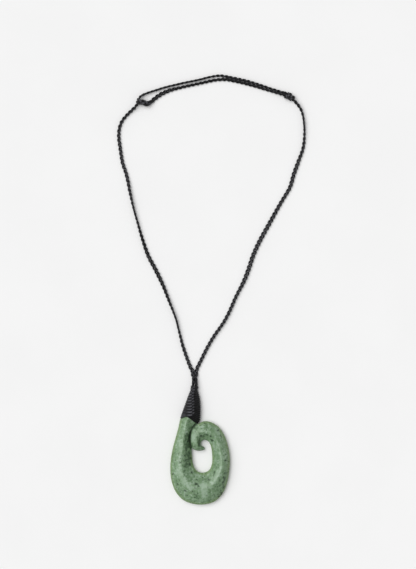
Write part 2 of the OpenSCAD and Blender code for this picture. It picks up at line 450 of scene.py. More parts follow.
@dataclass(frozen=True)
class GreenstoneFinish(Finish):
    """Finish of satin-polished nephrite: clouds, veins, olive rims and dark flecks, with painted highlight
    and painted shade from the stored tone and painted shade among the stored flecks.
    """

    name: str = "greenstone"
    deep: Colour = (0.038, 0.085, 0.034)
    middle: Colour = (0.148, 0.252, 0.130)
    pale: Colour = (0.305, 0.418, 0.302)
    olive: Colour = (0.150, 0.240, 0.080)
    # Colour of the flecks and of the painted shade in the groove and under the curl
    fleck_and_shade: Colour = (0.010, 0.026, 0.011)
    roughness: float = 0.42
    ior: float = 1.61
    depth: float = 0.8
    cloud_share: float = 0.22
    streak_share: float = 0.22
    grain_share: float = 0.56
    # Share of the stored tone: veins, with painted highlight and painted shade
    vein_and_light_share: float = 0.11

    def join(self, nodes: Nodes, shader: Node) -> None:
        """Join the clouds, veins, rims and flecks to the shader.

        Args:
            nodes: The helper for the material's tree.
            shader: Its shader node.
        """
        place = nodes.millimetres()
        stretch = nodes.add("ShaderNodeMapping", vector_type="POINT")
        nodes.feed(stretch, Vector=place, Scale=(0.55, 0.15, 0.3), Rotation=(0.0, 0.0, 0.15))
        clouds = nodes.noise(place, 0.16, 4.0, 0.7)
        streaks = nodes.noise(stretch.outputs[0], 1.0, 4.0, 0.6)
        grain = nodes.noise(place, 0.62, 5.0, 0.4)
        # Pale veins and painted highlight, stored as tone, calm the grain and the specks
        vein_and_light = nodes.stored("tone")
        calm = nodes.ramp(vein_and_light, 0.0, 0.6, 0.0, 0.65)
        grain = nodes.plus(grain, nodes.times(calm, nodes.less(0.5, grain)))
        tone = nodes.plus(nodes.times(streaks, self.streak_share), nodes.times(grain, self.grain_share))
        tone = nodes.plus(nodes.times(clouds, self.cloud_share), tone)
        tone = nodes.plus(tone, nodes.times(vein_and_light, self.vein_and_light_share))
        colour = nodes.mix(nodes.ramp(tone, 0.33, 0.49), self.deep, self.middle)
        colour = nodes.mix(nodes.ramp(tone, 0.47, 0.66), colour, self.pale)
        warm = nodes.plus(nodes.times(nodes.stored("rim"), 0.8), nodes.noise(place, 0.24, 3.0, 0.5))
        colour = nodes.mix(nodes.times(nodes.ramp(warm, 0.58, 1.15), 0.6), colour, self.olive)
        cells = nodes.add("ShaderNodeTexVoronoi")
        nodes.feed(cells, Vector=place, Scale=0.55, Randomness=1.0)
        patches = nodes.less(nodes.ramp(nodes.noise(place, 0.23, 2.0), 0.42, 0.58), calm, clamp=True)
        specks = nodes.times(nodes.ramp(cells.outputs["Distance"], 0.14, 0.36, 1.0, 0.0), patches)
        pepper = nodes.less(nodes.ramp(nodes.noise(place, 1.0, 2.0), 0.60, 0.70), calm, clamp=True)
        specks = nodes.math("MAXIMUM", nodes.times(specks, 0.9), nodes.times(pepper, 0.55))
        # Real flecks and specks, with the painted shade of the groove and the curl's lower edge
        marks_and_shade = nodes.math("MAXIMUM", nodes.stored("fleck_and_shade"), specks)
        marks_and_shade = nodes.times(marks_and_shade, nodes.ramp(grain, 0.35, 0.60, 1.0, 0.75), clamp=True)
        colour = nodes.mix(marks_and_shade, colour, self.fleck_and_shade)
        rough = nodes.ramp(streaks, 0.3, 0.7, self.roughness - 0.05, self.roughness + 0.08)
        rough = nodes.plus(rough, nodes.times(marks_and_shade, 0.4), clamp=True)
        normal = nodes.relief(nodes.noise(place, 1.6, 3.0), 0.25, 0.06)
        nodes.feed(shader, Base_Color=colour, Roughness=rough, Normal=normal, IOR=self.ior)
        nodes.feed(shader, Subsurface_Weight=0.03, Subsurface_Radius=(0.6, 1.0, 0.6))
        nodes.feed(shader, Subsurface_Scale=self.depth * MM)


@dataclass(frozen=True)
class TableFinish(Finish):
    """Finish of the pale matt table."""

    name: str = "pale_table"
    colour: Colour = (0.90, 0.90, 0.90)
    roughness: float = 0.85
    specular: float = 0.2

    def join(self, nodes: Nodes, shader: Node) -> None:
        """Join a faint cloudiness to the shader.

        Args:
            nodes: The helper for the material's tree.
            shader: Its shader node.
        """
        grain = nodes.ramp(nodes.noise(nodes.millimetres(), 0.02, 3.0), 0.3, 0.7)
        darker = tuple(0.985 * c for c in self.colour)
        colour = nodes.mix(grain, darker, self.colour)
        nodes.feed(shader, Base_Color=colour, Roughness=self.roughness, Specular_IOR_Level=self.specular)


# The lighter colours stand for wear and for painted highlight
CORD_FINISH = YarnFinish(
    name="plaited_cord", polish_and_highlight=(0.057, 0.057, 0.064), plies=2.0, pitch=1.8, roughness=0.46, bump=0.5
)
KNOT_FINISH = replace(CORD_FINISH, name="knotted_cord", polish_and_highlight=(0.085, 0.085, 0.097))
THREAD_FINISH = YarnFinish(
    name="waxed_thread", polish_and_highlight=(0.105, 0.105, 0.120), plies=3.0, pitch=2.4, roughness=0.40, bump=0.35
)


@dataclass(kw_only=True)
class Piece:
    """A piece of the pendant, which rides on the root and takes the place of one solid."""

    name: str
    node: str
    slot: str = "black_cord"

    def shape(self, parts: MeshParts) -> None:
        """Add the piece's surfaces."""
        raise NotImplementedError

    def settle(self, made: Object) -> Object:
        """Put the piece in its solid's place.

        Args:
            made: The piece.

        Returns:
            The same piece.
        """
        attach(made, "root")
        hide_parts(self.node)
        return made

    def build(self, material: Material) -> Object:
        """Make the piece.

        Args:
            material: Its finish.

        Returns:
            The piece.
        """
        parts = MeshParts()
        self.shape(parts)
        return self.settle(parts.make(self.name, material))


@dataclass(frozen=True)
class Cut:
    """Shape of one upright cut across the stone or the lashing.

    It is a flat back, rounded rims, and two crowned facets that meet in a ridge.
    """

    inner_side: float = 0.34
    outer_crown: float = 1.5
    inner_crown: float = 1.2
    rim: float = 1.6
    rim_share: float = 0.35
    rim_steps: int = 7
    facet_steps: int = 10

    def rim_arc(self, rim: float, low: float, side: float) -> Array:
        """Rim of one side, as place across and height, from the back up to the side's height."""
        angle = np.arange(self.rim_steps) * math.pi / 2 / self.rim_steps
        return np.stack([rim * (1 - np.sin(angle)), side - (side - low) * np.cos(angle)], axis=1)

    def facet(self, side: float, top: float, crown: float, wide: float) -> Array:
        """Crowned facet, as place across and height, from the side's height up to the ridge."""
        share = np.linspace(0.0, 1.0, self.facet_steps + 1)
        return np.stack([share * wide, side + (top - side) * (1 - (1 - share) ** crown)], axis=1)

    def ring(self, row: Array, height: float, inset: float = 0.0) -> Array:
        """Corners of one cut in space.

        Args:
            row: Outer x, outer y, inner x, inner y, ridge share, thickness share, back height
                and the outer side's share of the height.
            height: The full thickness that the row's share is of.
            inset: How far every side is drawn in.

        Returns:
            The corners, from the outer rim of the back over the ridge to the inner rim.
        """
        outer, inner = row[0:2], row[2:4]
        width = float(np.linalg.norm(inner - outer))
        across = (inner - outer) / width
        ridge, low, top = row[4], row[6] + inset, row[5] * height - inset
        outer_side, inner_side = (low + share * (top - low) for share in (row[7], self.inner_side))
        wide = width - 2 * inset
        rim = min(self.rim, self.rim_share * wide)
        right = np.concatenate([
            self.rim_arc(rim, low, inner_side),
            self.facet(inner_side, top, self.inner_crown, (1 - ridge) * wide)[:-1],
        ])
        right[:, 0] = wide - right[:, 0]
        outline = np.concatenate([
            self.rim_arc(rim, low, outer_side),
            self.facet(outer_side, top, self.outer_crown, ridge * wide),
            right[::-1],
        ])
        flat = outer[None, :] + (outline[:, :1] + inset) * across[None, :]
        return np.concatenate([flat, outline[:, 1:]], axis=1)


@dataclass(kw_only=True)
class HookStone(Piece):
    """The carved hook, with the curl that turns back against its shank."""

    name: str = "carved_stone"
    node: str = "hook_stone"
    slot: str = "greenstone"
    thickness: float = 8.0
    curl_start: int = 15
    steps: int = 10
    voxel: float = 0.28
    wander: float = 0.045
    wander_paces: Pair = (0.22, 0.5)
    ease: int = 16
    ease_factor: float = 0.5
    outer_edge: int = 21
    inner_edge: tuple[int, int] = (4, 17)
    edge_steps: int = 6
    rim_width: float = 2.6
    stray: float = 0.8
    stray_pace: float = 0.9
    stray_seed: int = 5
    fleck_fade: Pair = (0.6, 1.3)
    fleck_gain: float = 1.25
    vein_and_light_fade: Pair = (0.4, 1.25)
    line_step: float = 0.3
    line_core: float = 0.1
    # Painted shade of the groove and the curl's lower edge: width and strength
    groove_shade: Pair = (1.0, 0.9)
    edge_shade: Pair = (0.7, 0.8)
    groove_depth: float = 1.5
    groove_width: float = 0.55
    groove_step: float = 0.2
    free_height: Pair = (0.2, 1.2)
    groove_height: Pair = (1.5, 3.0)
    cut: Cut = Cut()

    # Outer x, outer y, inner x, inner y, ridge share, thickness share, back height, outer side
    CUTS = np.array([
        [-13.1, 12.4, -1.8, 9.6, 0.36, 0.84, 0, 0.34], [-14.3, 7, -4, 6, 0.46, 0.86, 0, 0.34],
        [-15.9, 1, -5.9, 0.4, 0.51, 0.88, 0, 0.34], [-17.7, -5.5, -5.6, -5.2, 0.53, 0.9, 0, 0.34],
        [-19, -12.4, -5.3, -11, 0.5, 0.93, 0, 0.34], [-19.5, -19.2, -4.7, -16.2, 0.51, 0.96, 0, 0.34],
        [-18.9, -26.3, -3.4, -19.5, 0.52, 0.98, 0, 0.34], [-16.4, -33.9, -1.4, -21.4, 0.54, 1, 0, 0.34],
        [-11.2, -39.9, 0.3, -22, 0.57, 1, 0, 0.34], [-4, -42.6, 1.8, -22.1, 0.56, 1, 0, 0.34],
        [3.1, -42.8, 3.1, -21.9, 0.53, 1, 0, 0.34], [9.9, -40.6, 4.6, -21.3, 0.55, 0.99, 0, 0.34],
        [15.1, -35, 6, -20.1, 0.56, 0.98, 0, 0.34], [18, -27, 7, -18.3, 0.51, 0.96, 0, 0.34],
        [19.2, -19, 7.7, -15.6, 0.46, 0.94, 0, 0.34], [19.3, -11.4, 7.8, -11.7, 0.48, 0.92, 0, 0.34],
        [18.2, -4.9, 7.4, -7.8, 0.52, 0.9, 0, 0.34], [16.1, 1.4, 6.6, -4.2, 0.55, 0.89, 0, 0.34],
        [12.7, 6.9, 5.2, -2, 0.55, 0.88, 0, 0.34], [8, 10.3, 3.6, -1.1, 0.55, 0.88, 0, 0.38],
        [3.1, 11.4, 2.1, -1.1, 0.54, 0.88, 0, 0.44], [-1.2, 9.7, 1.2, -1.6, 0.5, 0.87, 0, 0.52],
        [-4.8, 7.2, 0.7, -2.3, 0.52, 0.85, 0, 0.59], [-6.1, 2.8, 0.5, -3.1, 0.57, 0.82, 0, 0.63],
        [-6.2, -2, 0.6, -3.8, 0.62, 0.77, 0, 0.64], [-5.4, -5.7, 1, -4.5, 0.66, 0.7, 0, 0.61],
        [-3.5, -7.4, 1.7, -5.1, 0.66, 0.6, 0, 0.56], [-0.6, -8.1, 2.5, -5.5, 0.62, 0.48, 0, 0.5],
        [2, -7.7, 3, -6.1, 0.58, 0.36, 0, 0.45], [3.1, -7, 3.3, -6.4, 0.5, 0.24, 0, 0.4],
    ])
    # The head under the lashing, with the same columns
    HEAD = np.array([
        [-6.4, 28.5, -1.6, 28.5, 0.5, 0.56, 1.2, 0.34], [-8.5, 23.4, -1, 23.3, 0.5, 0.66, 1.2, 0.34],
        [-10.6, 18.6, -1, 17.6, 0.46, 0.74, 1.2, 0.34], [-11.8, 14.6, -1.5, 12.4, 0.41, 0.8, 0.6, 0.34],
    ])
    # Dark flecks: x, y, radius, strength
    FLECKS = np.array([
        [-8.6, 3.2, 0.72, 0.9], [-3.2, 4.5, 0.52, 0.7], [-7.1, -5.2, 0.65, 0.7], [-3.5, -4.9, 0.65, 0.4],
        [11.6, 5.3, 0.72, 0.8], [7, 6.6, 0.52, 0.4], [8.3, 7.7, 0.52, 0.4], [-8.8, 10.2, 0.65, 0.5],
        [-11.2, 8.1, 0.52, 0.3], [-7.9, -1.6, 0.78, 0.7], [-9.2, -7.8, 0.72, 0.7],
        [-6.6, -12.7, 0.72, 0.7], [-9.2, -13.5, 0.78, 0.7], [-7.4, -9.4, 0.65, 0.6], [-6.2, 0, 0.59, 0.6],
        [-7.5, 6.5, 0.59, 0.6], [-6.6, -16.1, 0.65, 0.7], [0.8, 2, 0.65, 0.7], [6.7, 1.6, 0.65, 0.7],
        [7.7, -0.8, 0.72, 0.7], [3.8, 3.1, 0.52, 0.5], [-0.8, -1.3, 0.52, 0.4], [16.3, -13.8, 0.65, 1],
        [14.2, -6.8, 0.59, 0.4], [11.2, -14.6, 0.59, 0.35], [10.5, -18.2, 0.59, 0.35],
        [15.2, -24.8, 0.65, 0.7], [16.1, -26.7, 0.59, 0.7], [15.3, -31.5, 0.78, 0.6],
        [13.8, -35.4, 0.85, 0.9], [12.2, -37.4, 0.72, 0.7], [-17.5, -22.9, 0.85, 0.7],
        [-16.5, -16.2, 0.59, 0.35], [-5.3, -21.8, 0.72, 0.8], [-2.3, -26.5, 0.59, 0.8],
        [-2.5, -28.9, 0.98, 0.9], [-1.2, -30.2, 0.72, 0.9], [-3.4, -31.5, 0.65, 0.5],
        [-4.9, -33.7, 0.72, 0.7], [-9.9, -33.5, 0.72, 0.8], [-2.4, -36.4, 0.59, 0.4],
        [-3.6, -41, 0.59, 0.6], [-13.1, -34.5, 0.59, 0.4], [5.1, -30.9, 0.59, 0.4],
        [8.3, -32.5, 0.59, 0.4], [4.4, -36.4, 0.59, 0.35], [10.6, -29.2, 0.59, 0.35],
    ])
    # Painted shade: dark lines in the groove beside the curl and along the curl's lower edge
    GROOVE = np.array([[-2.5, 9.6], [-4.9, 7.3], [-6.2, 4.1], [-6.9, 0.6], [-6.6, -2.9], [-5.7, -5.9]])
    LOWER_EDGE = np.array([[-5, -7], [-3.2, -7.7], [-0.8, -8.2], [1.2, -7.9], [3, -7]])
    # Paler and deeper veins, with painted highlight on the lit facets and crests (the left facets of the
    # shank and left limb, the curl's left side and top, the right limb's inner facet and crest, the bowl's
    # ridge) and painted shade where the stone faces away from the light (the shank's right facet, the curl's
    # inner bevel, the outer edges of the limbs and the bottom): from x, y to x, y, half width, tone
    VEINS_AND_LIGHT = np.array([
        [-8.2, 1, -8.7, -16.6, 2.2, -0.9], [-5.7, -5.5, -6.3, -16.6, 1.4, -0.6],
        [-7.4, 8.8, -6.6, 1.6, 1.2, -0.5], [-0.8, -4.2, -0.1, 1.3, 1, -0.6], [0.5, 1.9, 4.4, 2.7, 1, -0.6],
        [5.1, 2.4, 7.9, -1.3, 1, -0.6], [-12.2, 9.4, -13.5, -3.6, 1.8, 0.2],
        [-13.9, -3.6, -14.8, -20.5, 2.5, 0.25], [-9.9, 12.7, -9.3, 9.5, 1, 0.5],
        [-15.4, 0, -18.2, -14, 1.1, -0.35], [-14.1, -20.5, -9.2, -29.6, 2, 0.55],
        [-9.2, -29.6, -1.4, -32.8, 1.6, 0.6], [2.1, -30.9, 3.1, -36.1, 2.7, 0.95],
        [12.5, -4.2, 13.9, -17.9, 1.8, 0.4], [9.9, -5, 10.4, -16, 1.2, 0.35],
        [13.2, -19.2, 8.6, -27.6, 1.9, 0.65], [8, -28.6, 7, -30.9, 1.3, 0.6],
        [-4.5, 4.9, -4.6, -1.6, 1.5, 1], [-0.8, 5.5, 3.8, 4.5, 0.8, 0.5], [9, 2.9, 12.2, -3.6, 0.9, 0.4],
        [7.5, 7.2, 12, 4, 1.6, 0.5], [-1.4, 8.8, 5.1, 8.1, 1.3, 0.1], [15.8, -27, 10.9, -36.1, 2, -0.35],
        [17.1, -17.2, 16.8, -27, 1.3, -0.3], [-5.5, -21.5, -1.5, -25.5, 1.4, 0.3],
        [-17.4, -20.5, -15.7, -29.6, 1, -0.4], [3.8, -32.2, 7.7, -34.8, 1, -0.25],
        [-0.1, -38.7, 7.7, -39.3, 1.3, -0.2],
    ])

    def shape(self, parts: MeshParts) -> None:
        """Add a loft of the head and bowl, and one of the curl, which the skin then joins.

        Args:
            parts: The mesh to add to.
        """
        cuts = smoothed(self.CUTS, self.steps)
        turn = self.curl_start * self.steps
        head = smoothed(np.concatenate([self.HEAD, self.CUTS[:1]]), self.steps)[:-1]
        for rows in (np.concatenate([head, cuts[: turn + 1]]), cuts[turn:]):
            rings = np.stack([self.cut.ring(row, self.thickness) for row in rows])
            parts.add_closed(rings[:, ::-1], rings[[0, -1]].mean(axis=1), np.arange(len(rows)))

    def even_skin(self, stone: Object) -> Mesh:
        """Join the lofts in one even skin.

        Args:
            stone: The lofts, in metres.

        Returns:
            The skin, in millimetres.
        """
        stone.data.transform(Matrix.Scale(1 / MM, 4))
        remesh = stone.modifiers.new("skin", "REMESH")
        remesh.mode = "VOXEL"
        remesh.voxel_size = self.voxel
        ease = stone.modifiers.new("ease", "SMOOTH")
        ease.factor = self.ease_factor
        ease.iterations = self.ease
        skin = bpy.data.meshes.new_from_object(stone.evaluated_get(bpy.context.evaluated_depsgraph_get()))
        stone.modifiers.clear()
        return skin

    def mark(self, skin: Mesh, places: Array) -> None:
        """Store each point's nearness to a thin edge, its flecks with the painted shade of the groove and the
        curl's lower edge, and its tone of veins with painted highlight and painted shade.

        Args:
            skin: The stone's mesh.
            places: Its points in millimetres.
        """
        steps, (first, last) = self.edge_steps, self.inner_edge
        rows = smoothed(self.CUTS, steps)
        edges = [rows[: self.outer_edge * steps, 0:2], rows[first * steps : last * steps, 2:4]]
        noise.seed_set(self.stray_seed)
        shift = np.array([noise.noise_vector(Vector(p) * self.stray_pace)[:2] for p in places])
        strayed = places[:, :2] + self.stray * shift
        fleck_and_shade = np.zeros(len(places))
        for x, y, radius, strength in self.FLECKS:
            near, far = (part * radius for part in self.fleck_fade)
            fade = fading(near, far, nearest(strayed, [(x, y)]))
            fleck_and_shade = np.maximum(fleck_and_shade, min(1.0, self.fleck_gain * strength) * fade)
        # Painted shade: dark lines along the groove and the curl's lower edge, stored with the flecks
        for line, (width, strength) in ((self.GROOVE, self.groove_shade), (self.LOWER_EDGE, self.edge_shade)):
            away = nearest(places, evenly(line, self.line_step))
            fleck_and_shade = np.maximum(fleck_and_shade, strength * fading(self.line_core, width, away))
        tone = np.zeros(len(places))
        # Veins, with painted highlight on lit facets and crests and painted shade on facets and edges that
        # face away
        for x0, y0, x1, y1, radius, strength in self.VEINS_AND_LIGHT:
            start, way = np.array([x0, y0]), np.array([x1 - x0, y1 - y0])
            share = np.clip((strayed - start) @ way / (way @ way), 0.0, 1.0)
            near, far = (part * radius for part in self.vein_and_light_fade)
            tone += strength * fading(near, far, nearest(strayed - share[:, None] * way, [start]))
        store(skin, "rim", fading(0.0, self.rim_width, nearest(places, np.concatenate(edges))))
        store(skin, "fleck_and_shade", fleck_and_shade)
        # Tone of real veins, with painted highlight on the lit facets and painted shade on those facing away
        store(skin, "tone", np.clip(tone, -1.0, 1.0))

    def worked(self, places: Array, normals: Array) -> Array:
        """Points of the skin as a hand left them: a little uneven, and cut back along the groove.

        Args:
            places: The skin's points in millimetres.
            normals: Its directions there.

        Returns:
            The moved points.
        """
        slow, quick = self.wander_paces
        waver = np.array([noise.noise(Vector(p) * slow) for p in places])
        waver += 0.5 * np.array([noise.noise(Vector(p) * quick) for p in places])
        free = smoothstep(*self.free_height, places[:, 2])
        places = places + normals * (self.wander * waver * free)[:, None]
        away = nearest(places, evenly(smoothed(self.GROOVE, 4), self.groove_step))
        deep = np.exp(-((away / self.groove_width) ** 2)) * smoothstep(*self.groove_height, places[:, 2])
        places[:, 2] = np.maximum(places[:, 2] - self.groove_depth * deep, 0.0)
        return places

    def build(self, material: Material) -> Object:
        """Make the stone.

        Args:
            material: Its finish.

        Returns:
            The stone.
        """
        lofts = MeshParts()
        self.shape(lofts)
        stone = lofts.make(self.name, material)
        skin = self.even_skin(stone)
        places, normals = np.empty((2, len(skin.vertices), 3))
        skin.vertices.foreach_get("co", places.ravel())
        skin.vertices.foreach_get("normal", normals.ravel())
        self.mark(skin, places)
        skin.vertices.foreach_set("co", (self.worked(places, normals) * MM).ravel())
        skin.polygons.foreach_set("use_smooth", np.ones(len(skin.polygons), dtype=bool))
        skin.materials.clear()
        skin.materials.append(material)
        skin.update()
        stone.data = skin
        return self.settle(stone)


@dataclass(kw_only=True)
class Lashing(Piece):
    """Thread wound round the head of the stone, with a seam of half hitches down its front."""

    name: str = "thread_lashing"
    node: str = "lashing"
    slot: str = "black_thread"
    thickness: float = 8.0
    thread: float = 1.3
    thread_taper: float = 3.0
    wraps: int = 20
    core_share: float = 0.99
    core_pitch: float = 0.3
    rounding: int = 3
    hump: float = 2.9
    hump_reach: float = 8.0
    hump_peak: float = 0.36
    hump_span: Pair = (-0.05, 0.98)
    rows: int = 160
    around: int = 72
    sides: int = 8
    hitch: float = 1.95
    hitch_thread: float = 1.05
    hitch_taper: float = 1.0
    edge_margin: float = 0.6
    collar_lift: float = 0.4
    collar_turns: Pair = (0.9, 1.7)
    front_height: Pair = (1.2, 3.2)
    # Painted shade over the wraps from just left of the seam round to the right side, away from the light
    seam_fade: Pair = (-4.3, -3.0)
    seam_shade: float = 0.9
    # Random wear of the wraps
    wear_and_light: float = 0.2
    wear_swing: float = 0.35
    # Painted highlight, with wear, on the hitch bars
    hitch_wear_and_highlight: float = 0.62
    hitch_swing: float = 0.5
    cut: Cut = Cut(rim=2.2)

    # The same columns as in the stone's cuts
    CUTS = np.array([
        [-5.9, 34.1, -1.4, 34.1, 0.5, 0.46, 0, 0.34], [-6.6, 31.3, -1.4, 31.3, 0.5, 0.58, 0, 0.34],
        [-8.1, 27.6, -0.3, 27.3, 0.5, 0.7, 0, 0.34], [-9.9, 22.7, 0.4, 22.1, 0.5, 0.82, 0, 0.34],
        [-11.6, 17.9, 0.5, 16.6, 0.48, 0.89, 0, 0.34], [-12.8, 14.3, 0.1, 11.6, 0.46, 0.92, 0, 0.34],
        [-13.3, 12.7, -1.3, 9.9, 0.44, 0.93, 0, 0.34],
    ])
    # Seam of the hitches down the front
    SEAM = np.array([[-4.7, 32.2], [-5.4, 28.4], [-5.6, 25], [-5.4, 20.5], [-5.4, 15.6]])
    # Way of a hitch over the seam: across, up, out from the wraps
    HITCH = np.array([
        [-4.4, -0.1, -0.2], [-3.3, -0.1, 0.45], [-1.9, -0.08, 0.85], [-0.6, 0, 1], [0.05, 0.4, 1],
        [0.55, 1.05, 0.95], [1.1, 1.5, 0.6], [1.6, 1.6, -0.2],
    ])

    def skin(self) -> Array:
        """Rings of the thread's middle line from the neck down, starting mid-back.

        Returns:
            An array of rows, places round the ring, and x, y, z.
        """
        rows = smoothed(self.CUTS, 12)
        middle = np.concatenate([(rows[:, :2] + rows[:, 2:4]) / 2, np.zeros((len(rows), 1))], axis=1)
        step = arc_lengths(middle)[-1] / (self.rows - 1)
        rows = evenly(np.concatenate([middle, rows], axis=1), step)[:, 3:]
        left, right = self.hump_span
        rings = []
        for row in rows:
            ring = self.cut.ring(row, self.thickness, self.thread / 2)
            start = (ring[0] + ring[-1]) / 2
            loop = evenly(np.concatenate([[start], ring, [start]]), 0.05)
            loop = loop[np.linspace(0, len(loop) - 1, self.around + 1)[:-1].round().astype(int)]
            for _ in range(self.rounding):
                loop = (np.roll(loop, 1, axis=0) + 2 * loop + np.roll(loop, -1, axis=0)) / 4
            share = (loop[:, 0] - row[0]) / (row[2] - row[0])
            front = smoothstep(*self.front_height, loop[:, 2])
            above = (row[1] + row[3] - rows[-1][1] - rows[-1][3]) / 2
            hump = self.hump * between((left, self.hump_peak), (self.hump_peak, right), share)
            loop[:, 1] += front * hump * math.exp(-above / self.hump_reach)
            rings.append(loop)
        return np.stack(rings)

    def over(self, skin: Array, x: float, y: float, out: float) -> Array:
        """Place over the front of the lashing.

        Args:
            skin: The rings of the thread's middle line.
            x: Place across, kept inside the lashing's left edge.
            y: Place up.
            out: How far out from the wraps.

        Returns:
            The place in space.
        """
        front = skin[:, self.around // 4 : 3 * self.around // 4].reshape(-1, 3)
        left_edge = np.interp(-y, -self.CUTS[:, 1], self.CUTS[:, 0])
        x = max(x, left_edge + self.edge_margin)
        away = np.hypot(front[:, 0] - x, front[:, 1] - y)
        close = np.argsort(away)[:6]
        weight = 1.0 / (away[close] + 0.05)
        z = float((front[close, 2] * weight).sum() / weight.sum())
        return np.array([x, y, z + out])

    def add_wraps(self, parts: MeshParts, skin: Array) -> None:
        """Add the wound thread, with its first turns as a collar, over a closed core.

        Args:
            parts: The mesh to add to.
            skin: The rings of the thread's middle line.
        """
        centre = skin.mean(axis=1, keepdims=True)
        core = (centre + (skin - centre) * self.core_share)[::2, ::-1]
        parts.add_closed(core, core[[0, -1]].mean(axis=1), np.arange(len(core)) * self.core_pitch)
        turns = self.wraps * self.around
        step = np.arange(turns + 1)
        level = step / turns * (self.rows - 1)
        low = np.minimum(level.astype(int), self.rows - 2)
        share = (level - low)[:, None]
        place = step % self.around
        wound = skin[low, place] * (1 - share) + skin[low + 1, place] * share
        middle = centre[low, 0] * (1 - share) + centre[low + 1, 0] * share
        proud = self.collar_lift * fading(*self.collar_turns, step / self.around)
        wound = wound + unit(wound - middle) * proud[:, None]
        wound[:, 2] = np.maximum(wound[:, 2], self.thread / 2)
        ups = np.tile([0.0, 1.0, 0.0], (len(wound), 1))
        swing = np.array([noise.noise(Vector((x / 4, y * 1.1, z / 4))) for x, y, z in wound])
        worn_and_lit = self.wear_and_light + self.wear_swing * swing
        # Painted shade on the wraps from just left of the seam round to the right side
        seam = np.interp(-wound[:, 1], -self.SEAM[:, 1], self.SEAM[:, 0])
        worn_and_lit *= 1.0 - self.seam_shade * smoothstep(*self.seam_fade, wound[:, 0] - seam)
        worn_and_lit = np.clip(worn_and_lit, 0.0, 1.0)
        parts.add_tube(wound, ups, self.thread / 2, self.sides, self.thread_taper, worn_and_lit)

    def add_hitches(self, parts: MeshParts, skin: Array) -> None:
        """Add the half hitches of the seam, each a bar that turns up and over to the right.

        Args:
            parts: The mesh to add to.
            skin: The rings of the thread's middle line.
        """
        top, bottom = self.SEAM[0, 1], self.SEAM[-1, 1]
        way = smoothed(self.HITCH, 4)
        share = np.linspace(0.0, 1.0, len(way))
        # Painted highlight, with wear, on a long bar and on a short dab where the bar has turned over
        light = between((0.1, 0.35), (0.50, 0.62), share) + 0.85 * between((0.64, 0.72), (0.84, 0.95), share)
        for y in np.linspace(bottom, top, round((top - bottom) / self.hitch) + 1):
            x = np.interp(-y, -self.SEAM[:, 1], self.SEAM[:, 0])
            line = np.array([self.over(skin, x + across, y + up, out) for across, up, out in way])
            worn_and_lit = light * (self.hitch_wear_and_highlight + self.hitch_swing * noise.noise(Vector((0.0, y, 0.0))))
            ups = np.tile(TABLE_UP, (len(line), 1))
            parts.add_tube(line, ups, self.hitch_thread / 2, self.sides, self.hitch_taper, worn_and_lit)

    def shape(self, parts: MeshParts) -> None:
        """Add the wraps and the hitches.

        Args:
            parts: The mesh to add to.
        """
        skin = self.skin()
        self.add_wraps(parts, skin)
        self.add_hitches(parts, skin)


@dataclass(frozen=True)
class Plait:
    """A three-strand plait that follows any line, its flat side to a given direction."""

    strand: float = 0.85
    sway: float = 0.76
    lift: float = 0.29
    period: float = 8.8
    step: float = 0.45
    ease: int = 5
    sides: int = 10
    # Wear with painted highlight on the strands' tops, and painted shade at the plait's edges
    wear_and_light: float = 1.0
    shaded_edges: float = 0.0
    on_top_turn: Pair = (-0.1, 0.95)
    bead: float = 0.0

    def radius_at(self, angle: Array, spread: Each) -> Array:
        """A strand's radius where it is at an angle in its swing."""
        return self.strand / 2 * (1.0 + self.bead * (np.sin(angle) ** 2 - 0.6)) * spread**self.bead

    def half_height(self, roll: Array, spread: Each = 1.0) -> Array:
        """Half of the plait's height over the table.

        Args:
            roll: The turn of its flat side from facing up, in radians.
            spread: How much wider than usual it lies.

        Returns:
            The half height at each roll.
        """
        angle = np.linspace(0, math.tau, 73)[:, None]
        across = self.sway * spread * np.sin(angle) * np.sin(roll)
        over = self.lift * np.sin(2 * angle) * np.cos(roll)
        return (across + over + self.radius_at(angle, spread)).max(axis=0)

    def laid(self, route: Array, rolls: Array) -> tuple[Array, Array]:
        """Lay the plait on the table along a route.

        Args:
            route: Rows of x, y and how far off the table.
            rolls: Rows of the length along the route and the turn of the flat side from facing
                up, in degrees. The last length stands for the route's end.

        Returns:
            The evenly spaced middle line, and the way that the flat side faces at each point.
        """
        points = evenly(smoothed(route, 8), self.step)
        along = arc_lengths(points)
        share = along / along[-1] * rolls[-1, 0]
        roll = np.radians(np.interp(share, rolls[:, 0], rolls[:, 1]))
        roll = np.pad(roll, self.ease, mode="edge")
        roll = np.convolve(roll, np.ones(2 * self.ease + 1) / (2 * self.ease + 1), mode="valid")
        points[:, 2] += self.half_height(roll)
        right, up = sides_of(points, TABLE_UP)
        return points, np.cos(roll)[:, None] * up + np.sin(roll)[:, None] * right

    def add(
        self, parts: MeshParts, line: Array, ups: Array,
        phase: float = 0.0, taper: float = 0.0, spread: Each = 1.0,
    ) -> None:
        """Add the three strands.

        Args:
            parts: The mesh to add to.
            line: The middle line, evenly spaced.
            ups: The direction that the flat side faces, at each point.
            phase: Where in its repeat the plait starts, in radians.
            taper: How long each end of a strand takes to narrow to nothing.
            spread: How much wider than usual the plait lies, at each point.
        """
        right, up = sides_of(line, ups)
        turn = math.tau * arc_lengths(line) / self.period + phase
        for strand in range(3):
            angle = turn + strand * math.tau / 3
            across = (self.sway * spread * np.sin(angle))[:, None] * right
            over = (self.lift * np.sin(2 * angle))[:, None] * up
            # Wear with painted highlight: lighter where a strand lies on top of a crossing, and where the
            # flat side faces up
            worn_and_lit = self.wear_and_light * smoothstep(*self.on_top_turn, np.sin(2 * angle)) * (0.3 + 0.7 * np.abs(up[:, 2]))
            # Painted shade towards the plait's edges
            worn_and_lit = worn_and_lit * (1.0 - self.shaded_edges * (1.0 - (np.cos(angle) * up[:, 2]) ** 2))
            radius = self.radius_at(angle, spread)
            parts.add_tube(line + across + over, up, radius, self.sides, taper, worn_and_lit)


